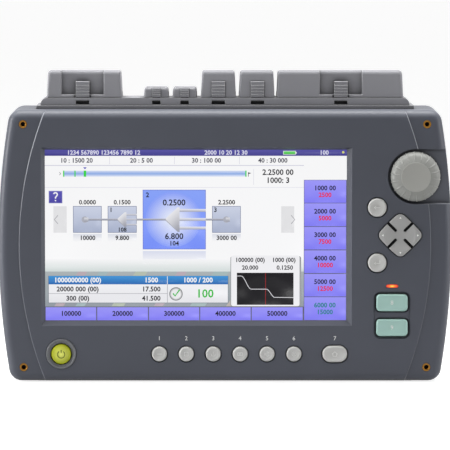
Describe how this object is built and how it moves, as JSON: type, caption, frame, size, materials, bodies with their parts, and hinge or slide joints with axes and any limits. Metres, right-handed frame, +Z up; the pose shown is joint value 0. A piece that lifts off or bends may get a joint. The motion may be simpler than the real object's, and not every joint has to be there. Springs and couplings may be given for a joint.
{
  "type": "optical time domain reflectometer",
  "caption": "Portable fibre tester with a bowed front, colour display, dial, keys and hinged port covers along the top.",
  "frame": {"origin": "under the middle of the whole unit, at the level of the rubber feet", "axes": "+X to the right seen from the front, the front faces -Y, +Z up"},
  "size_m": [0.27, 0.0662, 0.186],
  "materials": {
    "case_plastic": "fine moulded texture, satin",
    "rail_plastic": "fine moulded texture, satin",
    "key_plastic": "smooth satin",
    "power_key_plastic": "translucent green, smooth",
    "ring_metal": "satin plated ring",
    "mint_plastic": "smooth satin",
    "dial_plastic": "smooth satin",
    "brass_insert": "turned brass",
    "steel": "plated steel",
    "panel_glass": "clear, gloss front",
    "display_face": "lit colour display",
    "sheet_metal": "plain sheet",
    "circuit_board": "solder mask",
    "silicone": "soft grey silicone",
    "rubber_pad": "matte black rubber",
    "lens_plastic": "clear amber",
    "black_plastic": "plain black",
    "port_metal": "nickel plated"
  },
  "bodies": {
    "case": {"battery_pack": "black_plastic", "card_slot": "steel", "case_screws": "steel", "chassis_plate": "sheet_metal", "connector_rail": "rail_plastic", "corner_inserts": "brass_insert", "dc_inlet": "black_plastic", "device_socket": "steel", "display_module": "display_face", "encoder": "black_plastic", "fault_locator_port": "port_metal", "front_case": "case_plastic", "hinge_pins": "steel", "key_board": "circuit_board", "key_mat": "silicone", "lan_socket": "steel", "led_lens": "lens_plastic", "main_board": "circuit_board", "optical_module": "sheet_metal", "otdr_port_1": "port_metal", "otdr_port_2": "port_metal", "power_meter_port": "port_metal", "power_ring": "ring_metal", "rear_case": "case_plastic", "rubber_feet": "rubber_pad", "speaker": "black_plastic", "stand_pins": "steel", "touch_panel": "panel_glass", "usb_sockets": "steel"},
    "arrow_pad": {"arrow_pad": "key_plastic"},
    "arrow_pad_pivot": {"arrow_pad_pivot": "black_plastic"},
    "battery_door": {"battery_door": "case_plastic"},
    "cover_1": {"cover_1": "rail_plastic"},
    "cover_2": {"cover_2": "rail_plastic"},
    "cover_3": {"cover_3": "rail_plastic"},
    "cover_4": {"cover_4": "rail_plastic"},
    "cover_5": {"cover_5": "rail_plastic"},
    "cover_6": {"cover_6": "rail_plastic"},
    "dial": {"dial": "dial_plastic"},
    "dial_shaft": {"dial_shaft": "steel"},
    "enter_key": {"enter_key": "key_plastic"},
    "esc_key": {"esc_key": "key_plastic"},
    "function_key_1": {"function_key_1": "key_plastic"},
    "function_key_2": {"function_key_2": "key_plastic"},
    "function_key_3": {"function_key_3": "key_plastic"},
    "function_key_4": {"function_key_4": "key_plastic"},
    "function_key_5": {"function_key_5": "key_plastic"},
    "function_key_6": {"function_key_6": "key_plastic"},
    "latch_1": {"latch_1": "rail_plastic"},
    "latch_2": {"latch_2": "rail_plastic"},
    "latch_3": {"latch_3": "rail_plastic"},
    "latch_4": {"latch_4": "rail_plastic"},
    "latch_5": {"latch_5": "rail_plastic"},
    "latch_6": {"latch_6": "rail_plastic"},
    "menu_key": {"menu_key": "key_plastic"},
    "power_key": {"power_key": "power_key_plastic"},
    "realtime_key": {"realtime_key": "mint_plastic"},
    "start_key": {"start_key": "mint_plastic"},
    "tilt_stand": {"tilt_stand": "case_plastic"}
  },
  "joints": [
    {"name": "power_key_press", "type": "slide", "parent": "case", "child": "power_key", "axis": [0, 1, 0], "range_m": [0, 0.001], "stiffness_N_per_m": 400},
    {"name": "esc_key_press", "type": "slide", "parent": "case", "child": "esc_key", "axis": [0, 1, 0], "range_m": [0, 0.001], "stiffness_N_per_m": 400},
    {"name": "enter_key_press", "type": "slide", "parent": "case", "child": "enter_key", "axis": [0, 1, 0], "range_m": [0, 0.001], "stiffness_N_per_m": 400},
    {"name": "menu_key_press", "type": "slide", "parent": "case", "child": "menu_key", "axis": [0, 1, 0], "range_m": [0, 0.001], "stiffness_N_per_m": 400},
    {"name": "realtime_key_press", "type": "slide", "parent": "case", "child": "realtime_key", "axis": [0, 1, 0], "range_m": [0, 0.001], "stiffness_N_per_m": 400},
    {"name": "start_key_press", "type": "slide", "parent": "case", "child": "start_key", "axis": [0, 1, 0], "range_m": [0, 0.001], "stiffness_N_per_m": 400},
    {"name": "function_key_1_press", "type": "slide", "parent": "case", "child": "function_key_1", "axis": [0, 1, 0], "range_m": [0, 0.001], "stiffness_N_per_m": 400},
    {"name": "function_key_2_press", "type": "slide", "parent": "case", "child": "function_key_2", "axis": [0, 1, 0], "range_m": [0, 0.001], "stiffness_N_per_m": 400},
    {"name": "function_key_3_press", "type": "slide", "parent": "case", "child": "function_key_3", "axis": [0, 1, 0], "range_m": [0, 0.001], "stiffness_N_per_m": 400},
    {"name": "function_key_4_press", "type": "slide", "parent": "case", "child": "function_key_4", "axis": [0, 1, 0], "range_m": [0, 0.001], "stiffness_N_per_m": 400},
    {"name": "function_key_5_press", "type": "slide", "parent": "case", "child": "function_key_5", "axis": [0, 1, 0], "range_m": [0, 0.001], "stiffness_N_per_m": 400},
    {"name": "function_key_6_press", "type": "slide", "parent": "case", "child": "function_key_6", "axis": [0, 1, 0], "range_m": [0, 0.001], "stiffness_N_per_m": 400},
    {"name": "arrow_pad_up_down", "type": "hinge", "parent": "case", "child": "arrow_pad_pivot", "pos_m": [0.1042, -0.025, 0.0885], "axis": [1, 0, 0], "range_deg": [-2.5, 2.5], "stiffness_Nm_per_rad": 0.6},
    {"name": "arrow_pad_left_right", "type": "hinge", "parent": "arrow_pad_pivot", "child": "arrow_pad", "pos_m": [0.1042, -0.025, 0.0885], "axis": [0, 0, 1], "range_deg": [-2.5, 2.5], "stiffness_Nm_per_rad": 0.6},
    {"name": "dial_turn", "type": "hinge", "parent": "case", "child": "dial_shaft", "pos_m": [0.1132, -0.0279, 0.1234], "axis": [0, -1, 0], "continuous": true},
    {"name": "dial_press", "type": "slide", "parent": "dial_shaft", "child": "dial", "axis": [0, 1, 0], "range_m": [0, 0.0006], "stiffness_N_per_m": 1200},
    {"name": "cover_1_open", "type": "hinge", "parent": "case", "child": "cover_1", "pos_m": [-0.08395, 0.0161, 0.1696], "axis": [-1, 0, 0], "range_deg": [0, 100]},
    {"name": "cover_2_open", "type": "hinge", "parent": "case", "child": "cover_2", "pos_m": [-0.04105, 0.0161, 0.1696], "axis": [-1, 0, 0], "range_deg": [0, 100]},
    {"name": "cover_3_open", "type": "hinge", "parent": "case", "child": "cover_3", "pos_m": [-0.02405, 0.0161, 0.1696], "axis": [-1, 0, 0], "range_deg": [0, 100]},
    {"name": "cover_4_open", "type": "hinge", "parent": "case", "child": "cover_4", "pos_m": [-0.00395, 0.0161, 0.1696], "axis": [-1, 0, 0], "range_deg": [0, 100]},
    {"name": "cover_5_open", "type": "hinge", "parent": "case", "child": "cover_5", "pos_m": [0.0189, 0.0161, 0.1696], "axis": [-1, 0, 0], "range_deg": [0, 100]},
    {"name": "cover_6_open", "type": "hinge", "parent": "case", "child": "cover_6", "pos_m": [0.0686, 0.0161, 0.1696], "axis": [-1, 0, 0], "range_deg": [0, 100]},
    {"name": "latch_1_release", "type": "hinge", "parent": "cover_1", "child": "latch_1", "pos_m": [-0.0849, -0.01205, 0.17964], "axis": [1, 0, 0], "range_deg": [0, 4], "stiffness_Nm_per_rad": 0.3},
    {"name": "latch_2_release", "type": "hinge", "parent": "cover_2", "child": "latch_2", "pos_m": [-0.04095, -0.01205, 0.17352], "axis": [1, 0, 0], "range_deg": [0, 4], "stiffness_Nm_per_rad": 0.3},
    {"name": "latch_3_release", "type": "hinge", "parent": "cover_3", "child": "latch_3", "pos_m": [-0.02405, -0.01205, 0.17352], "axis": [1, 0, 0], "range_deg": [0, 4], "stiffness_Nm_per_rad": 0.3},
    {"name": "latch_4_release", "type": "hinge", "parent": "cover_4", "child": "latch_4", "pos_m": [-0.00395, -0.01205, 0.17964], "axis": [1, 0, 0], "range_deg": [0, 4], "stiffness_Nm_per_rad": 0.3},
    {"name": "latch_5_release", "type": "hinge", "parent": "cover_5", "child": "latch_5", "pos_m": [0.0194, -0.01205, 0.17964], "axis": [1, 0, 0], "range_deg": [0, 4], "stiffness_Nm_per_rad": 0.3},
    {"name": "latch_6_release", "type": "hinge", "parent": "cover_6", "child": "latch_6", "pos_m": [0.0691, -0.01205, 0.17964], "axis": [1, 0, 0], "range_deg": [0, 4], "stiffness_Nm_per_rad": 0.3},
    {"name": "battery_door_off", "type": "slide", "parent": "case", "child": "battery_door", "axis": [0, 1, 0], "range_m": [0, 0.02]},
    {"name": "tilt_stand_swing", "type": "hinge", "parent": "case", "child": "tilt_stand", "pos_m": [0, 0.0301, 0.105], "axis": [1, 0, 0], "range_deg": [0, 35]}
  ]
}
